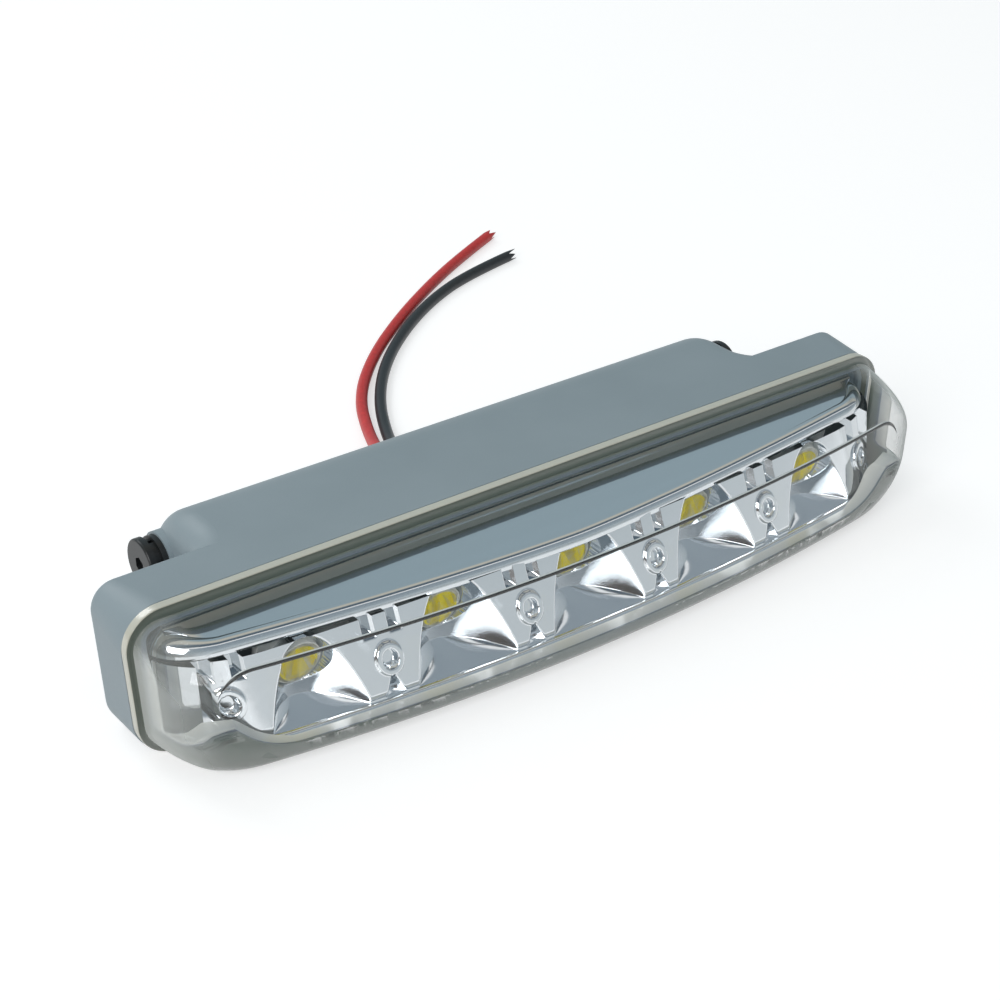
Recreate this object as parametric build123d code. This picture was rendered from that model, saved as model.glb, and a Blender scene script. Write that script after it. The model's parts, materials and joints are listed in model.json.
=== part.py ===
"""Five-lamp daytime running light: grey housing, clear lens, chrome reflector, boards, screws and wires.

Millimetres, +Z up. +X runs along the lamp, the lens faces -Y and the wires leave at +Y.
The pieces are drawn about the joint between lens and housing, at y = 0, and are moved
at the end so that the origin lies under the middle of the lamp.
"""
import math
import os

from build123d import *

# Outline of the joint, seen from the front
LENGTH = 160.0
HEIGHT = 27.0
SIDE_TAPER = 1.3
TOP_CORNER = 7.0
BOTTOM_CORNER = 6.5

# Clear lens
LENS_DEPTH = 22.2
LENS_BOW = 405.0
LENS_WALL = 2.2
LENS_EDGE = 2.2
CREASE_DROP = 3.85
FLANGE_THICKNESS = 1.8
FLANGE_STRIP = 1.75
SIDE_STRIP = 1.2
BOTTOM_STRIP = 0.7
END_DRAFT = 6.3
END_REACH = 20.0
END_DROP = 0.6
DOME_TOP_CORNER = 5.0
DOME_BOTTOM_CORNER = 5.0
FRONT_TOP_CORNER = 7.0
FRONT_BOTTOM_CORNER = 9.5

# Grey housing: rim band and rounded box behind it
RIM_DEPTH = 10.85
RIM_EDGE = 1.2
RIM_DRAFT = 0.3
RIM_TOP_CORNER = 4.2
RIM_BOTTOM_CORNER = 5.5
RIM_FRONT_WALL = 3.0
BODY_DEPTH = 31.0
BOX_INSET = 20.5
BOX_TOP_ROUND = 11.5
BOX_BOTTOM_ROUND = 6.0
BOX_EDGE = 5.0
BOX_BLEND = 5.5
HOUSING_WALL = 2.2

# Gasket in its groove behind the lens flange
SEAL_INSET = 0.7
SEAL_WIDTH = 1.3
SEAL_DEPTH = 1.0
SEAL_CLEARANCE = 0.1

# Chrome reflector
REFLECTOR_GAP = 0.4
REFLECTOR_WALL = 1.4
REFLECTOR_CORNER = 6.0
HOOD_BOW = 380.0
HOOD_DEPTH = 13.4
HOOD_DROP = 3.3
HOOD_ROLL = 2.2
LAND_BOW = 600.0
LAND_TOP_DEPTH = 12.9
LAND_BOTTOM_DEPTH = 18.2
LEDGE_DEPTH = 1.2
LEDGE_WIDTH = 1.4
LEDGE_CLEARANCE = 0.2
LAND_WIDTH = 7.5
BAY_FLOOR = 1.3
DISH_FOCUS = 2.2
END_POCKET = 3.6
GROOVE_WIDTH = 3.2
GROOVE_ROOT = 11.6
GROOVE_DROP = 0.95
EYE_OUTER = 5.0
EYE_INNER = 2.6
EYE_RISE = 0.7
EYE_HOLE = 1.4
EYE_DROP = 1.9

# Lamps and their board
LED_COUNT = 5
LED_END_MARGIN = 26.0
LED_DROP = 4.5
LED_CLEARANCE = 0.6
BOARD_FRONT = 7.0
BOARD_TILT = 14.0
BOARD_THICKNESS = 1.6
BOARD_END_MARGIN = 6.5
BOARD_UPPER = 4.7
BOARD_HEADROOM = 1.6
BOARD_CLEARANCE = 0.3
LED_BODY_DIAMETER = 8.4
LED_BODY_THICKNESS = 2.0
PHOSPHOR_MARGIN = 0.6
PHOSPHOR_THICKNESS = 0.35
LED_DOME_MARGIN = 0.2
LED_DOME_RISE = 2.4

# Small self-tapping screws
TAP_DIAMETER = 2.0
TAP_LENGTH = 4.4
TAP_HEAD_DIAMETER = 3.8
TAP_HEAD_HEIGHT = 1.4
TAP_HEAD_EDGE = 0.35
TAP_CLEARANCE = 0.1
HOLE_CLEARANCE = 0.4

# Driver board, on two posts on the floor of the box
DRIVER_LENGTH = 44.0
DRIVER_WIDTH = 13.0
DRIVER_THICKNESS = 1.6
DRIVER_BACK_GAP = 2.8
POST_HEIGHT = 5.0
POST_WALL = 1.5
POST_EDGE = 3.0
COIL_DIAMETER = 9.0
COIL_HEIGHT = 5.5
COIL_FLANGE = 1.0
COIL_WAIST = 6.0
CAPACITOR_DIAMETER = 6.3
CAPACITOR_HEIGHT = 8.5
CAPACITOR_EDGE = 0.5
CHIP_SIZE = (5.0, 4.0, 1.5)
DIODE_SIZE = (4.5, 2.6, 2.2)
COIL_PLACE = -12.5
CAPACITOR_PLACE = -3.0
CHIP_PLACE = 5.5
DIODE_PLACE = 12.5

# Bracket screws at both ends of the box
PIVOT_BACK_INSET = 6.8
PIVOT_DROP = 8.7
SCREW_DIAMETER = 4.0
SCREW_LENGTH = 9.0
SCREW_HEAD_DIAMETER = 9.0
SCREW_HEAD_HEIGHT = 1.4
SCREW_HEAD_EDGE = 0.4
SOCKET_SIZE = 2.5
SOCKET_DEPTH = 1.0
LOCK_WIDTH = 1.7
LOCK_THICKNESS = 1.2
LOCK_SPLIT = 0.8
FLAT_WIDTH = 2.3
FLAT_THICKNESS = 1.0
WASHER_CLEARANCE = 0.2
INSERT_WALL = 0.8
INSERT_LENGTH = 6.0
INSERT_CLEARANCE = 0.05
BOSS_WALL = 1.9
BOSS_RAISE = 0.8

# Wires and their grommet
WIRE_DIAMETER = 2.5
WIRE_SPACING = 3.4
WIRE_CLEARANCE = 0.05
GROMMET_NECK = 7.4
GROMMET_FLANGE = 9.0
GROMMET_LIP = 1.2
ARC_SHARE = 0.45

CUT = 1.0
LEAST_CORNER = 0.5
END_SHARES = (0.0, 0.5, 1.0)
FRAME_SHIFT = (LENS_DEPTH - BODY_DEPTH) / 2

# Heights, from the top of the joint down
DOME_ROOT = HEIGHT - FLANGE_STRIP
CREASE_HEIGHT = DOME_ROOT - CREASE_DROP
TOP_SLOPE = CREASE_DROP / (LENS_DEPTH - FLANGE_THICKNESS)
HOOD_UNDERSIDE = CREASE_HEIGHT - HOOD_DROP
PIVOT_Z = HEIGHT - PIVOT_DROP
OUTLET_Z = (BOX_BOTTOM_ROUND + HEIGHT - BOX_TOP_ROUND) / 2

# Reflector, lamps and lamp board
REFLECTOR_INSET = LENS_WALL + REFLECTOR_GAP
REFLECTOR_BOTTOM = BOTTOM_STRIP + REFLECTOR_INSET
BAY_BOTTOM = REFLECTOR_BOTTOM + BAY_FLOOR
LED_HEIGHT = HOOD_UNDERSIDE - LED_DROP
EYE_HEIGHT = LED_HEIGHT - EYE_DROP
LEDGE_INSET = RIM_FRONT_WALL + LEDGE_WIDTH
LED_PITCH = (LENGTH - 2 * LED_END_MARGIN) / (LED_COUNT - 1)
LED_PLACES = [(i - (LED_COUNT - 1) / 2) * LED_PITCH for i in range(LED_COUNT)]
DIVIDERS = [(i - (LED_COUNT - 2) / 2) * LED_PITCH for i in range(LED_COUNT - 1)]
LAND_PLACES = [(i - LED_COUNT / 2) * LED_PITCH for i in range(LED_COUNT + 1)]
BAY_WIDTH = LED_PITCH - LAND_WIDTH
POCKET_FLOOR = REFLECTOR_BOTTOM + REFLECTOR_WALL
BOARD_LOWER = LED_HEIGHT - POCKET_FLOOR - BOARD_CLEARANCE
BOARD_HALF = (LED_COUNT - 1) * LED_PITCH / 2 + BOARD_END_MARGIN
LED_DOME_DIAMETER = LED_BODY_DIAMETER - 2 * LED_DOME_MARGIN
PHOSPHOR_DIAMETER = LED_DOME_DIAMETER - 2 * PHOSPHOR_MARGIN
DISH_WINDOW = LED_BODY_DIAMETER / 2 + LED_CLEARANCE

# Frame of the lamp board: front of the board at y = 0, lamps on the X axis, facing forwards and down
LAMP_FRAME = Pos(0, -BOARD_FRONT, LED_HEIGHT) * Rot(BOARD_TILT, 0, 0)

# Box, driver board and bracket screws
BOX_END = LENGTH / 2 - BOX_INSET
TAP_HOLE = (TAP_DIAMETER + HOLE_CLEARANCE) / 2
TAP_PILOT = TAP_DIAMETER / 2 + TAP_CLEARANCE
DRIVER_Y = BODY_DEPTH - HOUSING_WALL - DRIVER_BACK_GAP - DRIVER_WIDTH / 2
DRIVER_FLOOR = HOUSING_WALL + POST_HEIGHT
DRIVER_TOP = DRIVER_FLOOR + DRIVER_THICKNESS
POST_PLACES = [side * (DRIVER_LENGTH / 2 - POST_EDGE) for side in (-1, 1)]
POST_DIAMETER = TAP_DIAMETER + 2 * POST_WALL
PIVOT_Y = BODY_DEPTH - PIVOT_BACK_INSET
LOCK_DIAMETER = SCREW_DIAMETER + 2 * LOCK_WIDTH
FLAT_DIAMETER = SCREW_DIAMETER + 2 * FLAT_WIDTH
INSERT_DIAMETER = SCREW_DIAMETER + 2 * INSERT_WALL
BOSS_DIAMETER = INSERT_DIAMETER + 2 * BOSS_WALL
WASHER_BORE = SCREW_DIAMETER / 2 + WASHER_CLEARANCE
WIRE_X = WIRE_SPACING / 2
WIRE_START = BODY_DEPTH - HOUSING_WALL - GROMMET_LIP
WIRE_FLOOR = WIRE_DIAMETER / 2

# Routes of the two wires: out of the grommet, down to the table and away to the back right
RED_ROUTE = [
    (-WIRE_X, WIRE_START, OUTLET_Z),
    (-WIRE_X, 40.0, OUTLET_Z),
    (2.3, 52.5, 4.6),
    (8.2, 66.3, WIRE_FLOOR),
    (15.6, 81.6, WIRE_FLOOR),
    (28.1, 95.8, WIRE_FLOOR),
    (43.6, 108.6, WIRE_FLOOR),
    (59.2, 119.4, WIRE_FLOOR),
    (73.6, 128.1, WIRE_FLOOR),
    (87.2, 135.1, WIRE_FLOOR),
]
BLACK_ROUTE = [
    (WIRE_X, WIRE_START, OUTLET_Z),
    (WIRE_X, 40.0, OUTLET_Z),
    (5.4, 51.6, 4.6),
    (11.0, 64.0, WIRE_FLOOR),
    (18.7, 77.6, WIRE_FLOOR),
    (29.2, 91.1, WIRE_FLOOR),
    (42.4, 103.2, WIRE_FLOOR),
    (56.4, 112.7, WIRE_FLOOR),
    (70.1, 119.4, WIRE_FLOOR),
    (83.9, 122.5, WIRE_FLOOR),
]


def outline(side, top, bottom, top_corner, bottom_corner):
    """Front outline of the lamp, moved inwards at its sides, top and bottom."""
    half = LENGTH / 2 - side
    corners = [
        (-half, HEIGHT - top),
        (half, HEIGHT - top),
        (half - SIDE_TAPER, bottom),
        (-half + SIDE_TAPER, bottom),
    ]
    face = make_face(Polyline(*corners, close=True))
    face = fillet(face.vertices().group_by(Axis.Y)[-1], max(top_corner, LEAST_CORNER))
    return fillet(face.vertices().group_by(Axis.Y)[0], max(bottom_corner, LEAST_CORNER))


def joint_outline(inset):
    """Outline parallel to the joint between lens and housing."""
    return outline(inset, inset, inset, TOP_CORNER - inset, BOTTOM_CORNER - inset)


def slab(face, back, front):
    """Extrude an outline along Y, from y = back forwards to y = front."""
    return extrude(Plane.XZ.offset(-back) * face, amount=back - front)


def block(x_range, y_range, z_range):
    """Box given by its limits."""
    size = [high - low for low, high in (x_range, y_range, z_range)]
    middle = [(high + low) / 2 for low, high in (x_range, y_range, z_range)]
    return Pos(*middle) * Box(*size)


def rod(radius, start, length, direction):
    """Cylinder from a start point along a direction."""
    return extrude(Plane(start, z_dir=direction) * Circle(radius), amount=length)


def plan(z, half, depth, bow, back):
    """Plan of the lens at one height: straight back and sides, and a front bowed by a radius."""
    rise = bow - math.sqrt(bow**2 - half**2) if bow else 0.0
    back_right = (half, back, z)
    back_left = (-half, back, z)
    front_left = (-half, rise - depth, z)
    front_right = (half, rise - depth, z)
    front = Line(front_left, front_right)
    if bow:
        front = ThreePointArc(front_left, (0, -depth, z), front_right)
    sides = [Line(back_right, back_left), Line(back_left, front_left), Line(front_right, back_right)]
    return make_face([sides[0], sides[1], front, sides[2]])


def dome_outline(inset, share, root_drop, crease):
    """Outline of the lens cap between its root, share 0, and its front, share 1."""
    side = SIDE_STRIP + inset + END_DRAFT * share**2
    top = FLANGE_STRIP + root_drop
    top += share * (HEIGHT - crease + END_DROP - top)
    top_corner = DOME_TOP_CORNER + share * (FRONT_TOP_CORNER - DOME_TOP_CORNER)
    bottom_corner = DOME_BOTTOM_CORNER + share * (FRONT_BOTTOM_CORNER - DOME_BOTTOM_CORNER)
    return outline(side, top, BOTTOM_STRIP + inset, top_corner - inset, bottom_corner - inset)


def dome_limits(inset, root_drop, crease, back):
    """Space that the lens cap may fill: wide at its root and curving in at both ends towards the front."""
    front = LENS_DEPTH + CUT
    sections = []
    for share in END_SHARES:
        depth = FLANGE_THICKNESS + share * (front - FLANGE_THICKNESS)
        sections.append(Plane.XZ.offset(depth) * dome_outline(inset, share, root_drop, crease))
    root = slab(dome_outline(inset, 0, root_drop, crease), back, -FLANGE_THICKNESS)
    middle = LENGTH / 2 - END_REACH
    return root + loft(sections) + block((-middle, middle), (-front, back), (BOTTOM_STRIP + inset, HEIGHT))


def dome(inset, back):
    """Body of the lens cap: sloping top, crease and bowed front, all moved inwards by the inset."""
    drop = inset * math.hypot(1, TOP_SLOPE)
    edge = CREASE_HEIGHT + inset * TOP_SLOPE - drop
    crease = plan(edge, LENGTH / 2, LENS_DEPTH - inset, LENS_BOW - inset, back)
    root = plan(DOME_ROOT - drop, LENGTH / 2, FLANGE_THICKNESS, 0, back)
    body = extrude(crease, amount=HEIGHT, dir=(0, 0, -1)) + loft([crease, root], ruled=True)
    return body & dome_limits(inset, drop, edge, back)


def front_lens():
    """Clear cap with a flange that lies on the housing rim."""
    cap = dome(0, 0)
    front = cap.faces().sort_by(Axis.Y)[0]
    crease = front.edges().sort_by(Axis.Z)[-1]
    rounded = [edge for edge in front.edges() if edge != crease]
    cap = fillet(rounded, LENS_EDGE)
    return slab(joint_outline(0), 0, -FLANGE_THICKNESS) + cap - dome(LENS_WALL, CUT)


def lens_seal():
    """Gasket ring in the front face of the rim."""
    ring = slab(joint_outline(SEAL_INSET), SEAL_DEPTH, 0)
    return ring - slab(joint_outline(SEAL_INSET + SEAL_WIDTH), SEAL_DEPTH + CUT, -CUT)


def rim_band():
    """Rim of the housing, narrower and with squarer corners at its back than at the joint."""
    rear = outline(RIM_DRAFT, 0, 0, RIM_TOP_CORNER, RIM_BOTTOM_CORNER)
    band = loft([Plane.XZ * joint_outline(0), Plane.XZ.offset(-RIM_DEPTH) * rear], ruled=True)
    return fillet(band.faces().sort_by(Axis.Y)[-1].edges(), RIM_EDGE)


def box_profile(inset, front):
    """Side view of the rear box: flat base, round back."""
    low = inset
    high = HEIGHT - inset
    back = BODY_DEPTH - inset
    face = make_face(Polyline((front, low), (back, low), (back, high), (front, high), close=True))
    rear = face.vertices().group_by(Axis.X)[-1].sort_by(Axis.Y)
    face = fillet(rear[1], BOX_TOP_ROUND - inset)
    rear = face.vertices().group_by(Axis.Y)[0].sort_by(Axis.X)
    return fillet(rear[-1], BOX_BOTTOM_ROUND - inset)


def rear_box():
    """Rounded box behind the rim, blended into it at both ends."""
    foot = BOX_END + BOX_BLEND + BOX_EDGE
    root = RIM_DEPTH - BOX_EDGE - CUT
    base = Pos(0, (root + RIM_DEPTH) / 2) * Rectangle(2 * foot, RIM_DEPTH - root)
    tail = Pos(0, (RIM_DEPTH + BODY_DEPTH + CUT) / 2) * Rectangle(2 * BOX_END, BODY_DEPTH + CUT - RIM_DEPTH)
    top_view = base + tail
    waist = top_view.vertices().filter_by_position(Axis.X, -foot, foot, inclusive=(False, False))
    top_view = fillet(waist.filter_by_position(Axis.Y, root, BODY_DEPTH), BOX_BLEND)
    body = extrude(Plane.YZ * box_profile(0, root), amount=foot, both=True) & extrude(top_view, amount=HEIGHT)
    ends = [face for face in body.faces().filter_by(Axis.X) if abs(face.center().X) < foot - BOX_BLEND]
    corners = [edge for face in ends for edge in face.edges().sort_by(Axis.Y)[1:]]
    return fillet(corners, BOX_EDGE)


def rear_housing():
    """Grey tub: rim band and box in one piece, hollow, with bosses, posts and a wire outlet."""
    shell = rim_band() + rear_box()
    shell -= slab(joint_outline(RIM_FRONT_WALL), LEDGE_DEPTH, -CUT)
    shell -= slab(joint_outline(LEDGE_INSET), RIM_DEPTH - HOUSING_WALL, -CUT)
    hollow = box_profile(HOUSING_WALL, RIM_DEPTH - 2 * HOUSING_WALL)
    shell -= extrude(Plane.YZ * hollow, amount=BOX_END - BOX_EDGE, both=True)
    groove = slab(joint_outline(SEAL_INSET - SEAL_CLEARANCE), SEAL_DEPTH, -CUT)
    island = joint_outline(SEAL_INSET + SEAL_WIDTH + SEAL_CLEARANCE)
    shell -= groove - slab(island, SEAL_DEPTH + CUT, -2 * CUT)
    boss_depth = max(SCREW_LENGTH, INSERT_LENGTH) + BOSS_WALL
    for side in (-1, 1):
        seat = on_end(side, 0)
        inwards = (-side, 0, 0)
        shell += rod(BOSS_DIAMETER / 2, seat, boss_depth, inwards)
        shell -= rod(INSERT_DIAMETER / 2 + INSERT_CLEARANCE, seat, INSERT_LENGTH, inwards)
        shell -= rod(WASHER_BORE, seat, SCREW_LENGTH, inwards)
    for x in POST_PLACES:
        base = (x, DRIVER_Y, HOUSING_WALL / 2)
        shell += rod(POST_DIAMETER / 2, base, DRIVER_FLOOR - HOUSING_WALL / 2, (0, 0, 1))
        pilot = TAP_LENGTH - DRIVER_THICKNESS
        shell -= rod(TAP_PILOT, (x, DRIVER_Y, DRIVER_FLOOR), pilot, (0, 0, -1))
    outlet = (0, BODY_DEPTH + CUT, OUTLET_Z)
    return shell - rod(GROMMET_NECK / 2 + WIRE_CLEARANCE, outlet, HOUSING_WALL + 2 * CUT, (0, -1, 0))


def lamp_dish(x):
    """Space of one lamp bay: a parabolic dish about the lamp, cut off by the bay's floor, ceiling and sides."""
    mouth = math.sqrt(DISH_WINDOW**2 + 4 * DISH_FOCUS * LENS_DEPTH)
    bend = DISH_WINDOW * (mouth - DISH_WINDOW) / (4 * DISH_FOCUS)
    curve = Bezier((DISH_WINDOW, 0), ((DISH_WINDOW + mouth) / 2, -bend), (mouth, -LENS_DEPTH))
    front = (0, -LENS_DEPTH)
    half = make_face([Line((0, 0), curve @ 0), curve, Line(curve @ 1, front), Line(front, (0, 0))])
    dish = LAMP_FRAME * Pos(x, 0, 0) * revolve(half, Axis.Y)
    sides = (x - BAY_WIDTH / 2, x + BAY_WIDTH / 2)
    return dish & block(sides, (-LENS_DEPTH, 0), (BAY_BOTTOM, HOOD_UNDERSIDE))


def land_depth(x, z):
    """How far the reflector's sloping front lies before the joint at one place."""
    share = (HOOD_UNDERSIDE - z) / (HOOD_UNDERSIDE - REFLECTOR_BOTTOM)
    bow = LAND_BOW - math.sqrt(LAND_BOW**2 - x**2)
    return LAND_TOP_DEPTH + share * (LAND_BOTTOM_DEPTH - LAND_TOP_DEPTH) - bow


def land_groove(x):
    """Wedge cut into the land between two bays, wide and deep below and running out upwards."""
    widening = (LENS_DEPTH - GROOVE_ROOT) / (land_depth(x, BAY_BOTTOM) - GROOVE_ROOT)
    spread = GROOVE_WIDTH / 2 * widening
    top = BAY_BOTTOM + (HOOD_UNDERSIDE - GROOVE_DROP - BAY_BOTTOM) * widening
    mouth = make_face(Polyline((x - spread, BAY_BOTTOM), (x + spread, BAY_BOTTOM), (x, top), close=True))
    return loft([Plane.XZ.offset(LENS_DEPTH) * mouth, Vertex(x, -GROOVE_ROOT, BAY_BOTTOM)])


def reflector_body():
    """Solid form of the reflector: sloping lands with round eyes, under a hood with a rolled front edge."""
    half = LENGTH / 2
    low = plan(REFLECTOR_BOTTOM, half, LAND_BOTTOM_DEPTH, LAND_BOW, 0)
    high = plan(HOOD_UNDERSIDE, half, LAND_TOP_DEPTH, LAND_BOW, 0)
    hood = plan(HOOD_UNDERSIDE, half, HOOD_DEPTH, HOOD_BOW, 0)
    front = loft([low, high], ruled=True) + extrude(hood, amount=HEIGHT - HOOD_UNDERSIDE, dir=(0, 0, 1))
    top = FLANGE_STRIP + REFLECTOR_INSET
    root = outline(SIDE_STRIP + REFLECTOR_INSET, top, REFLECTOR_BOTTOM, REFLECTOR_CORNER, LEAST_CORNER)
    limits = dome(REFLECTOR_INSET, 0) & slab(root, 0, -LENS_DEPTH)
    body = limits & front
    lip = body.edges().filter_by_position(Axis.Z, HOOD_UNDERSIDE + CUT, HEIGHT).sort_by(Axis.Y)[0]
    body = fillet(lip, HOOD_ROLL)
    for x in LAND_PLACES:
        face = land_depth(x, EYE_HEIGHT) + EYE_RISE
        eye = rod(EYE_OUTER / 2, (x, -BOARD_FRONT, EYE_HEIGHT), face - BOARD_FRONT, (0, -1, 0))
        body += eye & limits
        body -= land_groove(x)
        body -= rod(EYE_INNER / 2, (x, -face - CUT, EYE_HEIGHT), EYE_HOLE + CUT, (0, 1, 0))
    return body


def reflector():
    """Chrome moulding: hood, five dishes, lands with grooves and eyes, a flange, and a pocket for the board."""
    body = reflector_body()
    for x in LED_PLACES:
        body -= lamp_dish(x)
        window = LED_BODY_THICKNESS + LED_DOME_RISE
        body -= LAMP_FRAME * rod(DISH_WINDOW, (x, 0, 0), window, (0, -1, 0))
    body += slab(joint_outline(RIM_FRONT_WALL + LEDGE_CLEARANCE), LEDGE_DEPTH, 0)
    room = LENGTH / 2 - SIDE_STRIP - END_DRAFT - REFLECTOR_INSET - REFLECTOR_WALL - SIDE_TAPER
    ceiling = LED_HEIGHT + BOARD_UPPER + BOARD_HEADROOM
    body -= block((-room, room), (-END_POCKET, LEDGE_DEPTH + CUT), (POCKET_FLOOR, ceiling))
    board_room = BOARD_HALF + BOARD_CLEARANCE
    width = (-BOARD_LOWER - BOARD_CLEARANCE, BOARD_UPPER + BOARD_CLEARANCE)
    body -= LAMP_FRAME * block((-board_room, board_room), (0, 2 * BOARD_FRONT), width)
    for x in DIVIDERS:
        pilot = TAP_LENGTH - BOARD_THICKNESS
        body -= LAMP_FRAME * rod(TAP_PILOT, (x, 0, 0), pilot, (0, -1, 0))
    return body


def circuit_board():
    """Long metal-core board that carries the lamps, screwed to the back of the reflector."""
    board = block((-BOARD_HALF, BOARD_HALF), (0, BOARD_THICKNESS), (-BOARD_LOWER, BOARD_UPPER))
    for x in DIVIDERS:
        board -= rod(TAP_HOLE, (x, 0, 0), BOARD_THICKNESS, (0, 1, 0))
    return LAMP_FRAME * board


def tapping_screw(seat, direction):
    """Small pan-head screw with its head on the seat and its shank along the direction."""
    head = rod(TAP_HEAD_DIAMETER / 2, seat, TAP_HEAD_HEIGHT, [-d for d in direction])
    head = fillet(head.edges().filter_by(GeomType.CIRCLE), TAP_HEAD_EDGE)
    return head + rod(TAP_DIAMETER / 2, seat, TAP_LENGTH - TAP_CLEARANCE, direction)


def board_screws():
    """Screws through the lamp board into the reflector."""
    return [LAMP_FRAME * tapping_screw((x, BOARD_THICKNESS, 0), (0, -1, 0)) for x in DIVIDERS]


def led_body(x):
    """Round white package of one lamp."""
    return LAMP_FRAME * rod(LED_BODY_DIAMETER / 2, (x, 0, 0), LED_BODY_THICKNESS, (0, -1, 0))


def phosphor_disc(x):
    """Disc on the front of one package, in the board's frame."""
    return rod(PHOSPHOR_DIAMETER / 2, (x, -LED_BODY_THICKNESS, 0), PHOSPHOR_THICKNESS, (0, -1, 0))


def led_phosphor(x):
    """Yellow disc on the package."""
    return LAMP_FRAME * phosphor_disc(x)


def led_dome(x):
    """Clear round dome over the yellow disc."""
    foot = LED_DOME_DIAMETER / 2
    radius = (foot**2 + LED_DOME_RISE**2) / (2 * LED_DOME_RISE)
    ball = Pos(x, radius - LED_DOME_RISE - LED_BODY_THICKNESS, 0) * Sphere(radius)
    cap = ball & rod(radius, (x, -LED_BODY_THICKNESS, 0), LED_DOME_RISE, (0, -1, 0))
    return LAMP_FRAME * (cap - phosphor_disc(x))


def driver_board():
    """Current regulator board on two posts."""
    middle = (0, DRIVER_Y, DRIVER_FLOOR + DRIVER_THICKNESS / 2)
    board = Pos(*middle) * Box(DRIVER_LENGTH, DRIVER_WIDTH, DRIVER_THICKNESS)
    for x in POST_PLACES:
        board -= rod(TAP_HOLE, (x, DRIVER_Y, DRIVER_FLOOR), DRIVER_THICKNESS, (0, 0, 1))
    return board


def driver_screws():
    """Screws through the driver board into its posts."""
    return [tapping_screw((x, DRIVER_Y, DRIVER_TOP), (0, 0, -1)) for x in POST_PLACES]


def driver_coil():
    """Drum choke: two flanges and a wound waist."""
    seat = Pos(COIL_PLACE, DRIVER_Y, DRIVER_TOP)
    waist = rod(COIL_WAIST / 2, (0, 0, 0), COIL_HEIGHT, (0, 0, 1))
    foot = rod(COIL_DIAMETER / 2, (0, 0, 0), COIL_FLANGE, (0, 0, 1))
    head = rod(COIL_DIAMETER / 2, (0, 0, COIL_HEIGHT - COIL_FLANGE), COIL_FLANGE, (0, 0, 1))
    return seat * (waist + foot + head)


def driver_capacitor():
    """Upright can capacitor."""
    seat = (CAPACITOR_PLACE, DRIVER_Y, DRIVER_TOP)
    can = rod(CAPACITOR_DIAMETER / 2, seat, CAPACITOR_HEIGHT, (0, 0, 1))
    return fillet(can.edges().sort_by(Axis.Z)[-1], CAPACITOR_EDGE)


def driver_chip():
    """Flat regulator chip."""
    return Pos(CHIP_PLACE, DRIVER_Y, DRIVER_TOP + CHIP_SIZE[2] / 2) * Box(*CHIP_SIZE)


def reverse_diode():
    """Block diode against wrong polarity."""
    return Pos(DIODE_PLACE, DRIVER_Y, DRIVER_TOP + DIODE_SIZE[2] / 2) * Box(*DIODE_SIZE)


def on_end(side, distance):
    """Point on the axis of a bracket screw, outwards from the boss at the end of the box."""
    return (side * (BOX_END + BOSS_RAISE + distance), PIVOT_Y, PIVOT_Z)


def flat_washer(side):
    """Plain washer against the end boss."""
    ring = rod(FLAT_DIAMETER / 2, on_end(side, 0), FLAT_THICKNESS, (side, 0, 0))
    return ring - rod(WASHER_BORE, on_end(side, 0), FLAT_THICKNESS, (side, 0, 0))


def lock_washer(side):
    """Split spring washer under the screw head."""
    seat = on_end(side, FLAT_THICKNESS)
    ring = rod(LOCK_DIAMETER / 2, seat, LOCK_THICKNESS, (side, 0, 0))
    ring -= rod(WASHER_BORE, seat, LOCK_THICKNESS, (side, 0, 0))
    middle = on_end(side, FLAT_THICKNESS + LOCK_THICKNESS / 2)
    split = Pos(0, 0, LOCK_DIAMETER / 2) * Box(2 * LOCK_THICKNESS, LOCK_SPLIT, LOCK_DIAMETER)
    return ring - Pos(*middle) * split


def bracket_screw(side):
    """Black cap screw with a hexagon socket, for a bracket at one end."""
    seat = on_end(side, FLAT_THICKNESS + LOCK_THICKNESS)
    face = on_end(side, FLAT_THICKNESS + LOCK_THICKNESS + SCREW_HEAD_HEIGHT)
    head = rod(SCREW_HEAD_DIAMETER / 2, seat, SCREW_HEAD_HEIGHT, (side, 0, 0))
    outer = head.edges().filter_by(GeomType.CIRCLE).sort_by(lambda edge: side * edge.center().X)[-1]
    head = fillet(outer, SCREW_HEAD_EDGE)
    hexagon = RegularPolygon(SOCKET_SIZE / 2, 6, major_radius=False)
    head -= extrude(Plane(face, z_dir=(-side, 0, 0)) * hexagon, amount=SOCKET_DEPTH)
    reach = SCREW_LENGTH + FLAT_THICKNESS + LOCK_THICKNESS - WASHER_CLEARANCE
    return head + rod(SCREW_DIAMETER / 2, seat, reach, (-side, 0, 0))


def threaded_insert(side):
    """Brass insert in the end boss."""
    tube = rod(INSERT_DIAMETER / 2, on_end(side, 0), INSERT_LENGTH, (-side, 0, 0))
    return tube - rod(SCREW_DIAMETER / 2 + INSERT_CLEARANCE, on_end(side, 0), INSERT_LENGTH, (-side, 0, 0))


def wire_grommet():
    """Rubber grommet in the back wall, with a bore for each wire."""
    outside = (0, BODY_DEPTH, OUTLET_Z)
    inside = (0, BODY_DEPTH - HOUSING_WALL, OUTLET_Z)
    body = rod(GROMMET_NECK / 2, inside, HOUSING_WALL, (0, 1, 0))
    body += rod(GROMMET_FLANGE / 2, outside, GROMMET_LIP, (0, 1, 0))
    body += rod(GROMMET_FLANGE / 2, inside, GROMMET_LIP, (0, -1, 0))
    reach = HOUSING_WALL + 2 * GROMMET_LIP
    for x in (-WIRE_X, WIRE_X):
        body -= rod(WIRE_DIAMETER / 2 + WIRE_CLEARANCE, (x, WIRE_START, OUTLET_Z), reach, (0, 1, 0))
    return body


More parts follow.
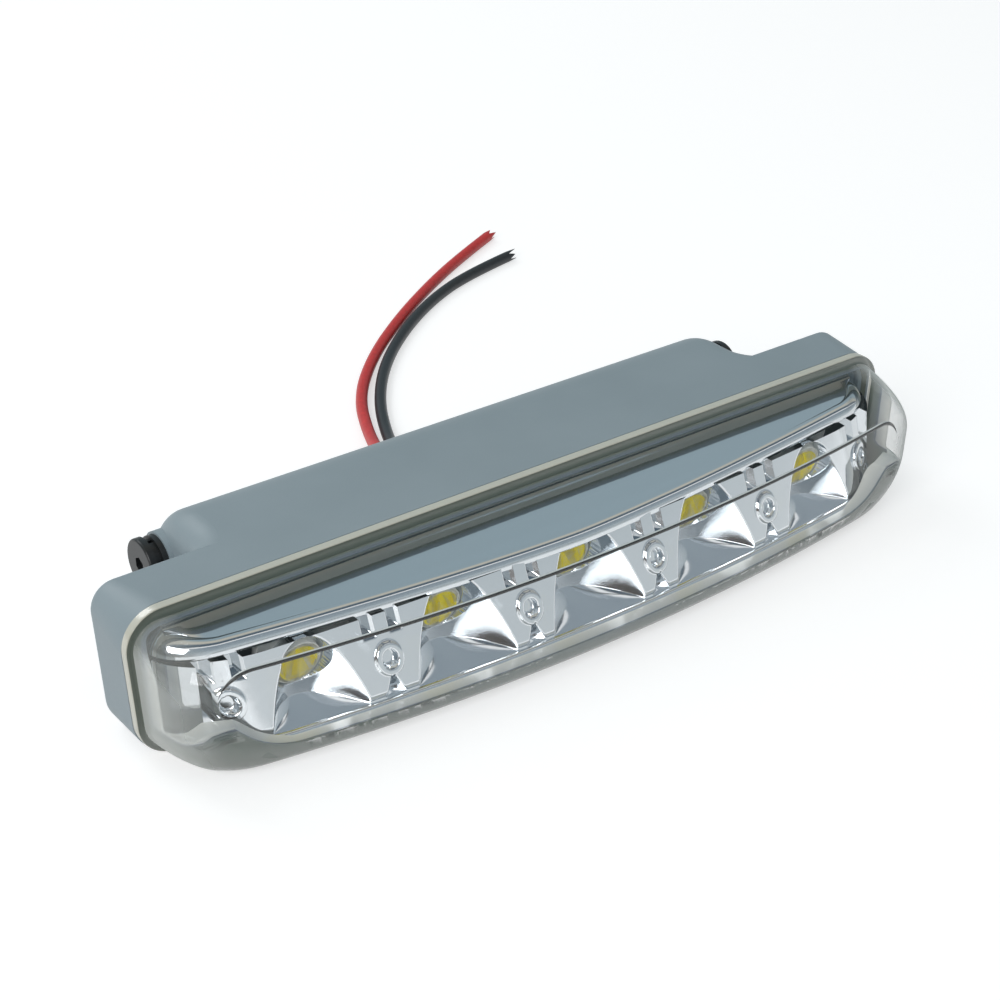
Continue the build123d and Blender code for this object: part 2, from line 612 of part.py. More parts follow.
def wire(name, points):
    """Round wire along straight runs joined by arcs as large as the runs allow."""
    vectors = [Vector(*point) for point in points]
    runs = [end - start for start, end in zip(vectors, vectors[1:])]
    radii = []
    for before, after in zip(runs, runs[1:]):
        shorter = min(before.length, after.length)
        radii.append(ARC_SHARE * shorter / math.tan(math.radians(before.get_angle(after)) / 2))
    path = FilletPolyline(*points, radius=radii)
    solid = sweep(Plane(points[0], z_dir=runs[0]) * Circle(WIRE_DIAMETER / 2), path=path)
    section = math.pi * WIRE_DIAMETER**2 / 4
    print(name, "length", round(path.length, 1), "radii", [round(radius, 1) for radius in radii])
    print(name, "volume over section times length", round(solid.volume / (section * path.length), 4))
    return solid


def lamp_pieces():
    """All nodes of the lamp by name."""
    pieces = {
        "rear_housing": rear_housing(),
        "front_lens": front_lens(),
        "lens_seal": lens_seal(),
        "reflector": reflector(),
        "circuit_board": circuit_board(),
        "board_screws": board_screws(),
        "driver_board": driver_board(),
        "driver_screws": driver_screws(),
        "driver_coil": driver_coil(),
        "driver_capacitor": driver_capacitor(),
        "driver_chip": driver_chip(),
        "reverse_diode": reverse_diode(),
        "wire_grommet": wire_grommet(),
        "red_wire": wire("red wire", RED_ROUTE),
        "black_wire": wire("black wire", BLACK_ROUTE),
    }
    for number, x in enumerate(LED_PLACES, start=1):
        pieces[f"led_body_{number}"] = led_body(x)
        pieces[f"led_phosphor_{number}"] = led_phosphor(x)
        pieces[f"led_dome_{number}"] = led_dome(x)
    for name, side in (("left", -1), ("right", 1)):
        pieces[f"{name}_flat_washer"] = flat_washer(side)
        pieces[f"{name}_lock_washer"] = lock_washer(side)
        pieces[f"{name}_bracket_screw"] = bracket_screw(side)
        pieces[f"{name}_threaded_insert"] = threaded_insert(side)
    return pieces


def main():
    os.makedirs("parts", exist_ok=True)
    for name, piece in lamp_pieces().items():
        solids = piece if isinstance(piece, list) else [piece]
        moved = [Pos(0, FRAME_SHIFT, 0) * solid for solid in solids]
        export_step(moved[0] if len(moved) == 1 else Compound(children=moved), f"parts/{name}.step")


main()
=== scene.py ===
"""Looks of a five-lamp daytime running light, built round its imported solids.

Metres, +Z up, +X along the lamp, lens towards -Y. Lengths written in millimetres are
multiplied by MM. The photograph's frame is 1000 by 1000.
"""
import json
import math

import bpy
import numpy as np
from mathutils import Matrix, Vector


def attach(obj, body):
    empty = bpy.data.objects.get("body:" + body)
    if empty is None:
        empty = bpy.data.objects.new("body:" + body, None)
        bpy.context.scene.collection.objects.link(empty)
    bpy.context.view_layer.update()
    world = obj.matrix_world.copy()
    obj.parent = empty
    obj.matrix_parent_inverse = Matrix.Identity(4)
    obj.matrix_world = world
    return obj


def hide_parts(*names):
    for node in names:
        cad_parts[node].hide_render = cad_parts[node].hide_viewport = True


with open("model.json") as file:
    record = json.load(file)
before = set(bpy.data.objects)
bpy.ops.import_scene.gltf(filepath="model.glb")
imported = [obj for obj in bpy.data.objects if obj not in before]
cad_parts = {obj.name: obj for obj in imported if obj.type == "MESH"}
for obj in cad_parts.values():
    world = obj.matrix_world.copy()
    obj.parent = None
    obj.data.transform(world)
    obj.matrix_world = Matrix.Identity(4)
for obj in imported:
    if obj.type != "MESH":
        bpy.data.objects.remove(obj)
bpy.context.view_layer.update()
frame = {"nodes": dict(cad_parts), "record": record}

MM = 0.001
SCENE = bpy.context.scene

# Camera, from the fit to the photograph
AZIMUTH = math.radians(-36.26)
ELEVATION = math.radians(29.95)
CAMERA_PLACE = (-190.8, -253.7, 201.0)
FOCAL_LENGTH = 75.84
SENSOR = 36.0

# Wires: the routes of their solids, in millimetres, moved slightly to follow the photograph
WIRE_DIAMETER = 2.5
RED_ROUTE = [
    (-1.7, 23.2, 10.75), (-1.7, 35.6, 10.75), (2.3, 48.1, 4.6), (8.2, 61.9, 1.25), (15.6, 77.2, 1.25),
    (28.1, 91.4, 1.25), (43.6, 104.2, 1.25), (59.2, 115.0, 1.25), (73.6, 123.7, 1.25), (87.2, 130.7, 1.25),
]
BLACK_ROUTE = [
    (1.7, 23.2, 10.75), (1.7, 35.6, 10.75), (5.4, 47.2, 4.6), (11.0, 59.6, 1.25), (18.1, 73.5, 1.25),
    (28.6, 87.2, 1.25), (42.0, 99.3, 1.25), (56.1, 108.8, 1.25), (70.1, 115.0, 1.25), (83.9, 118.1, 1.25),
]
RED_LENGTH = 148.8
BLACK_LENGTH = 136.4

# Lens: outline of its flange and of its cap, in millimetres about the joint plane y = 0
JOINT_SHIFT = -4.4
HALF_LENGTH = 80.0
HEIGHT = 27.0
SIDE_TAPER = 1.3
FLANGE_THICKNESS = 1.8
CAP_TOP = 25.25
CAP_BOTTOM = 0.7
CAP_SIDE = 1.2
CAP_DEPTH = 22.2
CAP_BOW = 405.0
CREASE_HEIGHT = 21.4
EDGE_SKIN = 0.12
# Ends of the cap: share of the depth, inward turn and power of their superellipse
END_SHARE = 0.72
END_TURN = 8.0
END_POWER = 2.6
# Round of the cap's lower front edge, and corners at the root with their growth to the front
LOWER_ROUND = 4.4
TOP_CORNER, TOP_CORNER_GROWTH = 5.0, 3.0
LOW_CORNER, LOW_CORNER_GROWTH = 6.0, 5.5
# Points along an outline's long runs, corners and short sides
RUN_POINTS = 160
CORNER_POINTS = 24
SIDE_POINTS = 14
# Clear skin: how far it stands off the thick edge, and the level line that its front rings shrink to
SKIN_STRETCH = (1.0014, 1.0, 1.008)
SKIN_ROWS = 44
SKIN_CROWDING = 1.6
SPINE_REACH = 60.0
SPINE_HEIGHT = 11.0
MILKY_FROM, MILKY_TO = 70.5, 74.5
# Thick edge: rows of the flange's rim as inset, depth and tint, the tint being a place on the edge's ramp of
# painted light; heights where its bottom band and its sides start; shares of the cap's depth
RIM_ROWS = (
    (0.06, -0.1, 0.0), (0.06, -0.5, 0.0), (0.06, -1.4, 0.03), (0.12, -1.66, 0.05), (0.3, -1.74, 0.09),
    (0.7, -1.76, 0.14),
)
FLANGE_TOP_CORNER, FLANGE_LOW_CORNER = 7.0, 6.5
BAND_START, BAND_WIDTH = 8.5, 5.5
SIDE_START, SIDE_WIDTH = 24.5, 4.0
ROOT_SHARE, SIDE_SHARE, BOTTOM_SHARE = 0.03, 0.11, 0.86
LIP_SHARE, LIP_SIDE_SHARE, LIP_BACK = 0.01, 0.13, 0.5
SHELF_SHARE, SHELF_INSET, SHELF_GAP, SHELF_HEIGHT = 0.02, 0.985, 0.3, 5.3
# Fold along the crease
FOLD_REACH, FOLD_TURN, FOLD_SINK, FOLD_RADIUS = 66.0, 6.2, 0.42, 0.36

# Reflector: plan of its lower edge and of its hood, bays and lands
REFLECTOR_END = 76.0
END_ROUND = 16.0
LOWER_DEPTH = 18.6
LOWER_BOW = 475.0
FACE_LEAN = 0.31
FACE_BOTTOM = 3.0
FACE_TOP = 18.6
BAY_FLOOR = 5.8
BAY_PLACES = (-54.0, -27.0, 0.0, 27.0, 54.0)
LAND_PLACES = (-67.5, -40.5, -13.5, 13.5, 40.5, 67.5)
LAMP_HEIGHT = 13.6
DISH_BACK = 6.4
DISH_FOCUS = 2.2
DISH_LEAN = 0.3
WINDOW_RADIUS, WINDOW_DEPTH = 4.7, 5.5
EYE_HEIGHT = 11.7
EYE_RADIUS, EYE_HOLE, EYE_RIM, EYE_STAND, EYE_SINK = 2.6, 1.5, 0.3, 0.7, 1.5
GROOVE_WIDTH, GROOVE_HEIGHT, GROOVE_DEPTH = 2.2, 4.0, 2.4
NOTCH_FROM, NOTCH_TO, NOTCH_BOTTOM, NOTCH_DEPTH = 1.3, 3.4, 15.3, 4.0
SLOT_FROM, SLOT_TO, SLOT_BOTTOM, SLOT_DEPTH = 69.2, 71.2, 8.0, 4.5
FACE_CORNER, END_LEAN = 4.0, 0.16
BEAD_RADIUS, BEAD_HEIGHT, BEAD_TOP = 0.85, 4.9, 19.0
HOOD_DEPTH = 13.3
HOOD_REACH = 66.0
NOSE_LENGTH = 9.5
HOOD_ROOT = 22.6
HOOD_SLOPE = 0.19
LIP_ROUND, NOSE_ROUND = 2.2, 2.0
HOOD_FALL, HOOD_FALL_AT = 5.6, 68.0
ROOT_REACH, ROOT_DEPTH, ROOT_HOLLOW = 73.0, 1.4, 0.15
COVE_DEPTH, COVE_TILT, COVE_RISE = 1.3, 0.5, 1.1

# Studio
FLOOR_REACH = 40.0
FLOOR_GLOW = 0.6
ROOM = [
    (0.00, "#dde2e4"), (0.08, "#c3cbcf"), (0.18, "#9aa6ad"), (0.315, "#8d99a2"), (0.33, "#ffffff"),
    (0.355, "#ffffff"), (0.37, "#46545f"), (0.44, "#5c6b78"), (0.49, "#cfcabc"), (0.56, "#c2bfb4"),
    (0.60, "#9aacb4"), (0.90, "#9dafb6"), (1.00, "#adbabf"),
]

# Painted light on the lens's thick edge, from the flange's rim to the inside: a painted cream highlight, a
# painted dark line, olive and slate painted for the seal and rim seen through the plastic, and a pale painted
# sheen
EDGE_PAINTED_LIGHT = [
    (0.00, "#d3d0c0"), (0.05, "#d3d0c0"), (0.08, "#4e564b"), (0.30, "#5c665a"), (0.60, "#65726d"),
    (0.80, "#6f7a86"), (0.90, "#b9bebf"), (1.00, "#e4e5df"),
]
# Painted light on the fold: painted shade below, painted highlight above
FOLD_PAINTED_LIGHT = [(0.45, "#0d1011"), (0.62, "#d3d8d7")]

# Torn insulation at the wires' far ends
TORN_POINTS = 5
TORN_ROOT = 0.5
TORN_REACH = 3.0
TORN_WALL = 0.55
TORN_LAP = 0.3
TORN_ANGLES = 60
TORN_ROWS = 8
TORN_SPREAD = 0.22
TORN_NARROWING = 0.1
TORN_THINNING = 0.85


def linear(code):
    """Linear colour with alpha 1 from an sRGB hex code."""
    shares = [int(code[i:i + 2], 16) / 255 for i in (1, 3, 5)]
    return [s / 12.92 if s <= 0.04045 else ((s + 0.055) / 1.055) ** 2.4 for s in shares] + [1.0]


def add(tree, kind, settings=None, links=None):
    """Add a node; settings go to its properties or its input sockets, links join sockets to inputs."""
    node = tree.nodes.new(kind)
    for name, value in (settings or {}).items():
        if isinstance(name, str) and hasattr(node, name) and name not in node.inputs:
            setattr(node, name, value)
        else:
            node.inputs[name].default_value = value
    for name, socket in (links or {}).items():
        tree.links.new(socket, node.inputs[name])
    return node


def new_material(name):
    """Empty material with an output node; gives the material, its tree and the output."""
    material = bpy.data.materials.new(name)
    material.use_nodes = True
    material.node_tree.nodes.clear()
    return material, material.node_tree, add(material.node_tree, "ShaderNodeOutputMaterial")


def fill_ramp(ramp, tints):
    """Give a colour ramp the places and sRGB codes of a list."""
    stops = ramp.color_ramp.elements
    stops.remove(stops[1])
    for place, code in tints[1:]:
        stops.new(place)
    for stop, (place, code) in zip(stops, tints):
        stop.position = place
        stop.color = linear(code)


# Materials

def moulded_abs():
    """Grey ABS from a lightly etched mould: even, matt, with a very fine grain and faint cloudiness."""
    material, tree, output = new_material("grey_abs")
    place = add(tree, "ShaderNodeTexCoord").outputs["Object"]
    cloud = add(tree, "ShaderNodeTexNoise", {"Scale": 45.0, "Detail": 3.0}, {"Vector": place})
    grain = add(tree, "ShaderNodeTexNoise", {"Scale": 2200.0, "Detail": 2.0}, {"Vector": place})
    tint = add(tree, "ShaderNodeMix", {"data_type": "RGBA"}, {0: cloud.outputs["Fac"]})
    tint.inputs[6].default_value = linear("#87949a")
    tint.inputs[7].default_value = linear("#96a2a8")
    bump = add(tree, "ShaderNodeBump", {"Strength": 0.25, "Distance": 0.00008}, {"Height": grain.outputs["Fac"]})
    shader = add(
        tree, "ShaderNodeBsdfPrincipled", {"Roughness": 0.48, "IOR": 1.5},
        {"Base Color": tint.outputs[2], "Normal": bump.outputs[0]},
    )
    tree.links.new(shader.outputs[0], output.inputs["Surface"])
    return material


def skin(tree, normal, straight, grazing, roughness):
    """Shader of a thin clear wall: gloss grows from a share seen straight on to one at grazing sight.

    Gives the shader and the node that says how far the wall faces the eye.
    """
    facing = add(tree, "ShaderNodeLayerWeight", {"Blend": 0.5}, {"Normal": normal})
    power = add(tree, "ShaderNodeMath", {"operation": "POWER", 1: 5.0}, {0: facing.outputs["Facing"]})
    share = add(
        tree, "ShaderNodeMath", {"operation": "MULTIPLY_ADD", 1: grazing, 2: straight}, {0: power.outputs[0]},
    )
    clear = add(tree, "ShaderNodeBsdfTransparent", {"Color": linear("#ffffff")})
    gloss = add(tree, "ShaderNodeBsdfAnisotropic", {"Roughness": roughness}, {"Normal": normal})
    mix = add(tree, "ShaderNodeMixShader", {}, {0: share.outputs[0], 1: clear.outputs[0], 2: gloss.outputs[0]})
    return mix, facing


def clear_polycarbonate():
    """Injection-moulded clear polycarbonate: no colour, hard gloss, with the faint waves of the moulding's flow.

    Its walls are thin against their size, so they are see-through skins. The curved ends are seen through more
    of the plastic, so they look milky, most of all along the wall.
    """
    material, tree, output = new_material("clear_polycarbonate")
    place = add(tree, "ShaderNodeTexCoord").outputs["Object"]
    flow = add(tree, "ShaderNodeTexNoise", {"Scale": 90.0, "Detail": 1.0}, {"Vector": place})
    bump = add(tree, "ShaderNodeBump", {"Strength": 0.05, "Distance": 0.0003}, {"Height": flow.outputs["Fac"]})
    wall, facing = skin(tree, bump.outputs[0], 0.035, 0.7, 0.02)
    axes = add(tree, "ShaderNodeSeparateXYZ", {}, {0: place}).outputs
    far = add(tree, "ShaderNodeMath", {"operation": "ABSOLUTE"}, {0: axes["X"]})
    end = add(
        tree, "ShaderNodeMapRange", {"From Min": MILKY_FROM * MM, "From Max": MILKY_TO * MM},
        {"Value": far.outputs[0]},
    )
    thick = add(tree, "ShaderNodeMath", {"operation": "POWER", 1: 2.0}, {0: facing.outputs["Facing"]})
    milk = add(tree, "ShaderNodeMath", {"operation": "ADD", 1: 0.16}, {0: thick.outputs[0]})
    share = add(tree, "ShaderNodeMath", {"operation": "MULTIPLY"}, {0: end.outputs[0], 1: milk.outputs[0]})
    haze = add(tree, "ShaderNodeBsdfDiffuse", {"Color": linear("#dfe1dd")})
    mix = add(tree, "ShaderNodeMixShader", {}, {0: share.outputs[0], 1: wall.outputs[0], 2: haze.outputs[0]})
    tree.links.new(mix.outputs[0], output.inputs["Surface"])
    return material


def edge_polycarbonate():
    """Thick edge of the clear moulding, clouded a little by flow lines.

    It carries the light of the rim behind it, and its colours are painted light: a painted cream highlight at
    the flange's rim, a painted dark line, olive at the root and slate where it thins for the seal and rim seen
    through the plastic, and a pale painted sheen on the inside.
    """
    material, tree, output = new_material("edge_polycarbonate")
    place = add(tree, "ShaderNodeTexCoord").outputs["Object"]
    # Each point's place on the ramp of painted light comes from the mesh, shifted a little by flow noise
    along = add(tree, "ShaderNodeAttribute", {"attribute_name": "edge"})
    flow = add(tree, "ShaderNodeTexNoise", {"Scale": 60.0, "Detail": 2.0}, {"Vector": place})
    shift = add(tree, "ShaderNodeMath", {"operation": "MULTIPLY_ADD", 1: 0.02}, {
        0: flow.outputs["Fac"], 2: along.outputs["Fac"],
    })
    ramp = add(tree, "ShaderNodeValToRGB", {}, {0: shift.outputs[0]})
    fill_ramp(ramp, EDGE_PAINTED_LIGHT)
    shader = add(
        tree, "ShaderNodeBsdfPrincipled", {"Roughness": 0.25, "IOR": 1.5, "Transmission Weight": 0.12},
        {"Base Color": ramp.outputs[0]},
    )
    clear = add(tree, "ShaderNodeBsdfTransparent", {"Color": linear("#ffffff")})
    mix = add(tree, "ShaderNodeMixShader", {0: 0.1}, {1: shader.outputs[0], 2: clear.outputs[0]})
    tree.links.new(mix.outputs[0], output.inputs["Surface"])
    return material


def fold_polycarbonate():
    """Fold of the clear moulding: a fine rounded edge with a painted highlight above and painted shade below."""
    material, tree, output = new_material("fold_polycarbonate")
    place = add(tree, "ShaderNodeTexCoord").outputs["Object"]
    side = add(tree, "ShaderNodeAttribute", {"attribute_name": "edge"})
    flow = add(tree, "ShaderNodeTexNoise", {"Scale": 120.0, "Detail": 1.0}, {"Vector": place})
    # Its colour is painted light: painted shade on the fold's lower side, painted highlight on the upper
    ramp = add(tree, "ShaderNodeValToRGB", {}, {0: side.outputs["Fac"]})
    fill_ramp(ramp, FOLD_PAINTED_LIGHT)
    bump = add(tree, "ShaderNodeBump", {"Strength": 0.1, "Distance": 0.0001}, {"Height": flow.outputs["Fac"]})
    shader = add(
        tree, "ShaderNodeBsdfPrincipled", {"Roughness": 0.15, "IOR": 1.58},
        {"Base Color": ramp.outputs[0], "Normal": bump.outputs[0]},
    )
    tree.links.new(shader.outputs[0], output.inputs["Surface"])
    return material


def plated_chrome():
    """Vacuum-plated plastic: mirror bright, with the faint orange peel of its lacquer."""
    material, tree, output = new_material("plated_chrome")
    place = add(tree, "ShaderNodeTexCoord").outputs["Object"]
    peel = add(tree, "ShaderNodeTexNoise", {"Scale": 320.0, "Detail": 1.0}, {"Vector": place})
    bump = add(tree, "ShaderNodeBump", {"Strength": 0.06, "Distance": 0.0002}, {"Height": peel.outputs["Fac"]})
    shader = add(
        tree, "ShaderNodeBsdfPrincipled",
        {"Base Color": linear("#dfe3e6"), "Metallic": 1.0, "Roughness": 0.08},
        {"Normal": bump.outputs[0]},
    )
    tree.links.new(shader.outputs[0], output.inputs["Surface"])
    return material


def plain(name, code, roughness, metallic=0.0, speck=900.0, glow=0.0):
    """Small part with a fine grain: one colour, lightly mottled; a phosphor also gets a faint painted glow."""
    material, tree, output = new_material(name)
    place = add(tree, "ShaderNodeTexCoord").outputs["Object"]
    grain = add(tree, "ShaderNodeTexNoise", {"Scale": speck, "Detail": 2.0}, {"Vector": place})
    tint = add(tree, "ShaderNodeMix", {"data_type": "RGBA"}, {0: grain.outputs["Fac"]})
    dark = linear(code)
    tint.inputs[6].default_value = [0.8 * c for c in dark[:3]] + [1.0]
    tint.inputs[7].default_value = [min(1.0, 1.2 * c) for c in dark[:3]] + [1.0]
    bump = add(tree, "ShaderNodeBump", {"Strength": 0.2, "Distance": 0.00006}, {"Height": grain.outputs["Fac"]})
    # The emission is a painted glow, given only to the phosphor to lift it out of the hood's shade
    shader = add(
        tree, "ShaderNodeBsdfPrincipled",
        {"Roughness": roughness, "Metallic": metallic, "Emission Color": dark, "Emission Strength": glow},
        {"Base Color": tint.outputs[2], "Normal": bump.outputs[0]},
    )
    tree.links.new(shader.outputs[0], output.inputs["Surface"])
    return material


def clear_silicone():
    """Clear soft dome over the emitter: colourless gloss with a few fine ripples from casting."""
    material, tree, output = new_material("clear_silicone")
    place = add(tree, "ShaderNodeTexCoord").outputs["Object"]
    ripple = add(tree, "ShaderNodeTexNoise", {"Scale": 400.0, "Detail": 1.0}, {"Vector": place})
    bump = add(tree, "ShaderNodeBump", {"Strength": 0.05, "Distance": 0.0001}, {"Height": ripple.outputs["Fac"]})
    dome = skin(tree, bump.outputs[0], 0.012, 0.35, 0.03)[0]
    tree.links.new(dome.outputs[0], output.inputs["Surface"])
    return material


FINISHES = {
    "grey_housing": moulded_abs(),
    "clear_lens": clear_polycarbonate(),
    "seal_rubber": plain("seal_rubber", "#6b7064", 0.7),
    "chrome_plating": plated_chrome(),
    "lamp_board": plain("white_solder_mask", "#d9dbd8", 0.4),
    "lamp_package": plain("white_ceramic", "#e2e2dc", 0.5),
    # The phosphor's glow is painted light: the lamp is off
    "phosphor": plain("yellow_phosphor", "#d8cc2a", 0.6, glow=0.3),
    "lamp_dome": clear_silicone(),
    "board_laminate": plain("green_laminate", "#1d5a33", 0.4),
    "coil_ferrite": plain("ferrite", "#2b2b2c", 0.6),
    "capacitor_can": plain("aluminium_can", "#c9cbcd", 0.3, 1.0),
    "chip_plastic": plain("black_epoxy", "#1c1c1d", 0.5),
    "black_steel": plain("black_oxide_steel", "#1d1f20", 0.38),
    "plain_steel": plain("zinc_plate", "#b9bcbd", 0.3, 1.0),
    "insert_brass": plain("turned_brass", "#c2a35a", 0.3, 1.0),
    "red_insulation": plain("red_pvc", "#cf2f2d", 0.42),
    "black_insulation": plain("black_pvc", "#25292c", 0.42),
}
SLOT_OF = {part["node"]: part["material_slot"] for part in frame["record"]["subparts"]}
for name, node in frame["nodes"].items():
    node.data.materials.clear()
    node.data.materials.append(FINISHES[SLOT_OF[name]])


# Wires

def wire(name, route):
    """Round wire along the route: a smooth spline drawn with a round section.

    The points' radii carry the thickness, because the curve's bounds are worked out from them.
    """
    curve = bpy.data.curves.new(name, "CURVE")
    curve.dimensions = "3D"
    spline = curve.splines.new("NURBS")
    spline.points.add(len(route) - 1)
    points = np.ones((len(route), 4))
    points[:, :3] = np.array(route) * MM
    spline.points.foreach_set("co", points.ravel())
    spline.points.foreach_set("radius", np.full(len(route), WIRE_DIAMETER * MM / 2))
    spline.order_u = 3
    spline.use_endpoint_u = True
    spline.resolution_u = 12
    curve.bevel_depth = 1.0
    curve.bevel_resolution = 6
    curve.use_fill_caps = True
    cord = bpy.data.objects.new(name, curve)
    SCENE.collection.objects.link(cord)
    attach(cord, "root")
    return cord


def torn_end(name, route, turn):
    """Torn rim of the insulation past the end of a wire.

    A tube about the wire's last direction. Its rim runs out in points: the reach at an angle is a
    triangle wave of TORN_POINTS points, each a little longer or shorter. The wall thins towards the
    rim. The outer skin goes out to the rim and the inner skin comes back from it.
    """
    last = np.array(route[-1])
    along = last - np.array(route[-2])
    along /= np.linalg.norm(along)
    level = np.cross((0.0, 0.0, 1.0), along)
    level /= np.linalg.norm(level)
    upright = np.cross(along, level)
    angle = np.linspace(0.0, 2 * np.pi, TORN_ANGLES, endpoint=False)
    wave = TORN_POINTS * (angle + turn) / (2 * np.pi)
    tooth = 1.0 - 2.0 * np.abs(wave % 1.0 - 0.5)
    point = np.floor(wave) % TORN_POINTS
    reach = TORN_ROOT + TORN_REACH * tooth * (1.0 - TORN_SPREAD + TORN_SPREAD * np.cos(2.4 * point + turn))
    share = np.linspace(0.0, 1.0, TORN_ROWS)
    outer = WIRE_DIAMETER / 2 * (1.0 - TORN_NARROWING * share**2)
    inner = outer - TORN_WALL * (1.0 - TORN_THINNING * share)
    radius = np.concatenate([outer, inner[::-1]])
    out = np.concatenate([share, share[::-1]])
    ring = np.cos(angle)[:, None] * level + np.sin(angle)[:, None] * upright
    grid = last + radius[:, None, None] * ring + (out[:, None] * reach - TORN_LAP)[:, :, None] * along
    rows = len(radius)
    cell = np.arange(rows * TORN_ANGLES).reshape(rows, TORN_ANGLES)
    nearer, farther = cell[:-1], cell[1:]
    quads = np.stack([nearer, np.roll(nearer, -1, 1), np.roll(farther, -1, 1), farther], -1).reshape(-1, 4)
    mesh = bpy.data.meshes.new(name)
    mesh.from_pydata((grid.reshape(-1, 3) * MM).tolist(), [], quads.tolist())
    mesh.polygons.foreach_set("use_smooth", np.ones(len(quads), dtype=bool))
    piece = bpy.data.objects.new(name, mesh)
    SCENE.collection.objects.link(piece)
    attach(piece, "root")
    return piece


for colour, route, length, turn in (
    ("red", RED_ROUTE, RED_LENGTH, 0.4), ("black", BLACK_ROUTE, BLACK_LENGTH, 1.7),
):
    tip = torn_end(f"{colour}_lead_end", route, turn)
    cord = wire(f"{colour}_lead", route)
    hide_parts(f"{colour}_wire")
    for piece in (cord, tip):
        piece.data.materials.append(FINISHES[f"{colour}_insulation"])


# Lens and reflector

def grid_piece(name, grid, finish, shares=None, ring=False):
    """Smooth sheet over a grid of points about the joint plane; a ring's last column joins its first."""
    rows, columns = grid.shape[:2]
    cell = np.arange(rows * columns).reshape(rows, columns)
    if ring:
        cell = np.concatenate([cell, cell[:, :1]], 1)
    quads = np.stack([cell[:-1, :-1], cell[:-1, 1:], cell[1:, 1:], cell[1:, :-1]], -1).reshape(-1, 4)
    mesh = bpy.data.meshes.new(name)
    points = grid.reshape(-1, 3) + (0.0, JOINT_SHIFT, 0.0)
    mesh.from_pydata((points * MM).tolist(), [], quads.tolist())
    mesh.polygons.foreach_set("use_smooth", np.ones(len(quads), dtype=bool))
    if shares is not None:
        edge = mesh.attributes.new("edge", "FLOAT", "POINT")
        edge.data.foreach_set("value", np.ascontiguousarray(shares, dtype=np.float32).ravel())
    mesh.materials.append(finish)
    piece = bpy.data.objects.new(name, mesh)
    SCENE.collection.objects.link(piece)
    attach(piece, "root")
    return piece


def ease(value):
    """Smooth step from 0 to 1."""
    share = np.clip(value, 0.0, 1.0)
    return share * share * (3.0 - 2.0 * share)


def front_outline(half, top, bottom, top_corner, bottom_corner):
    """Rounded front outline, clockwise from the top left, narrowed towards its bottom by the taper."""
    turn = np.linspace(0.0, np.pi / 2, CORNER_POINTS)
    high, low = top - top_corner, bottom + bottom_corner
    x = np.concatenate([
        np.linspace(-half + top_corner, half - top_corner, RUN_POINTS)[:-1],
        half - top_corner + top_corner * np.sin(turn), np.full(SIDE_POINTS, half),
        half - bottom_corner + bottom_corner * np.cos(turn),
        np.linspace(half - bottom_corner, -half + bottom_corner, RUN_POINTS)[1:-1],
        -half + bottom_corner - bottom_corner * np.sin(turn), np.full(SIDE_POINTS, -half),
        -half + top_corner - top_corner * np.cos(turn[:-1]),
    ])
    side = np.linspace(high, low, SIDE_POINTS + 2)[1:-1]
    z = np.concatenate([
        np.full(RUN_POINTS - 1, top), high + top_corner * np.cos(turn), side,
        low - bottom_corner * np.sin(turn), np.full(RUN_POINTS - 2, bottom),
        low - bottom_corner * np.cos(turn), side[::-1],
        high + top_corner * np.sin(turn[:-1]),
    ])
    return x * (1.0 - SIDE_TAPER * (HEIGHT - z) / HEIGHT / half), z


def cap_outline(share):
    """Outline of the lens cap under its skin: share 0 at the root, 1 at the front's middle.

    The half length falls along a superellipse to the ends of the bowed front. Near the front the bottom rises
    along a quarter circle of LOWER_ROUND.
    """
    turn = min(share / END_SHARE, 1.0)
    half = HALF_LENGTH - CAP_SIDE - EDGE_SKIN - END_TURN * (1.0 - (1.0 - turn**END_POWER)**(1.0 / END_POWER))
    top, bottom = CAP_TOP - EDGE_SKIN - share * (CAP_TOP - CREASE_HEIGHT), CAP_BOTTOM + EDGE_SKIN
    x, z = front_outline(
        half, top, bottom, TOP_CORNER + TOP_CORNER_GROWTH * share, LOW_CORNER + LOW_CORNER_GROWTH * share,
    )
    ahead = CAP_DEPTH - x**2 / (2 * CAP_BOW) - FLANGE_THICKNESS - share * (CAP_DEPTH - FLANGE_THICKNESS)
    near = np.clip(1.0 - ahead / LOWER_ROUND, 0.0, 1.0)
    lift = LOWER_ROUND * (1.0 - np.sqrt(1.0 - near**2))
    return x, top - (top - z) * (1.0 - lift / (top - bottom))


CAP_TABLE = np.linspace(0.0, 1.4, 141)
CAP_RINGS = np.array([cap_outline(s) for s in CAP_TABLE])


def on_skin(share, gap=2 * EDGE_SKIN):
    """Points just under the cap's skin at a share of its depth for each column, up to the bowed front."""
    place = share / CAP_TABLE[1]
    below = np.minimum(place.astype(int), len(CAP_TABLE) - 2)
    part = (place - below)[:, None]
    column = np.arange(CAP_RINGS.shape[2])
    ring = CAP_RINGS[below, :, column] * (1 - part) + CAP_RINGS[below + 1, :, column] * part
    front = CAP_DEPTH - ring[:, 0]**2 / (2 * CAP_BOW) - gap
    depth = np.minimum(FLANGE_THICKNESS + share * (CAP_DEPTH - FLANGE_THICKNESS), front)
    return np.stack([ring[:, 0], -depth, ring[:, 1]], 1)


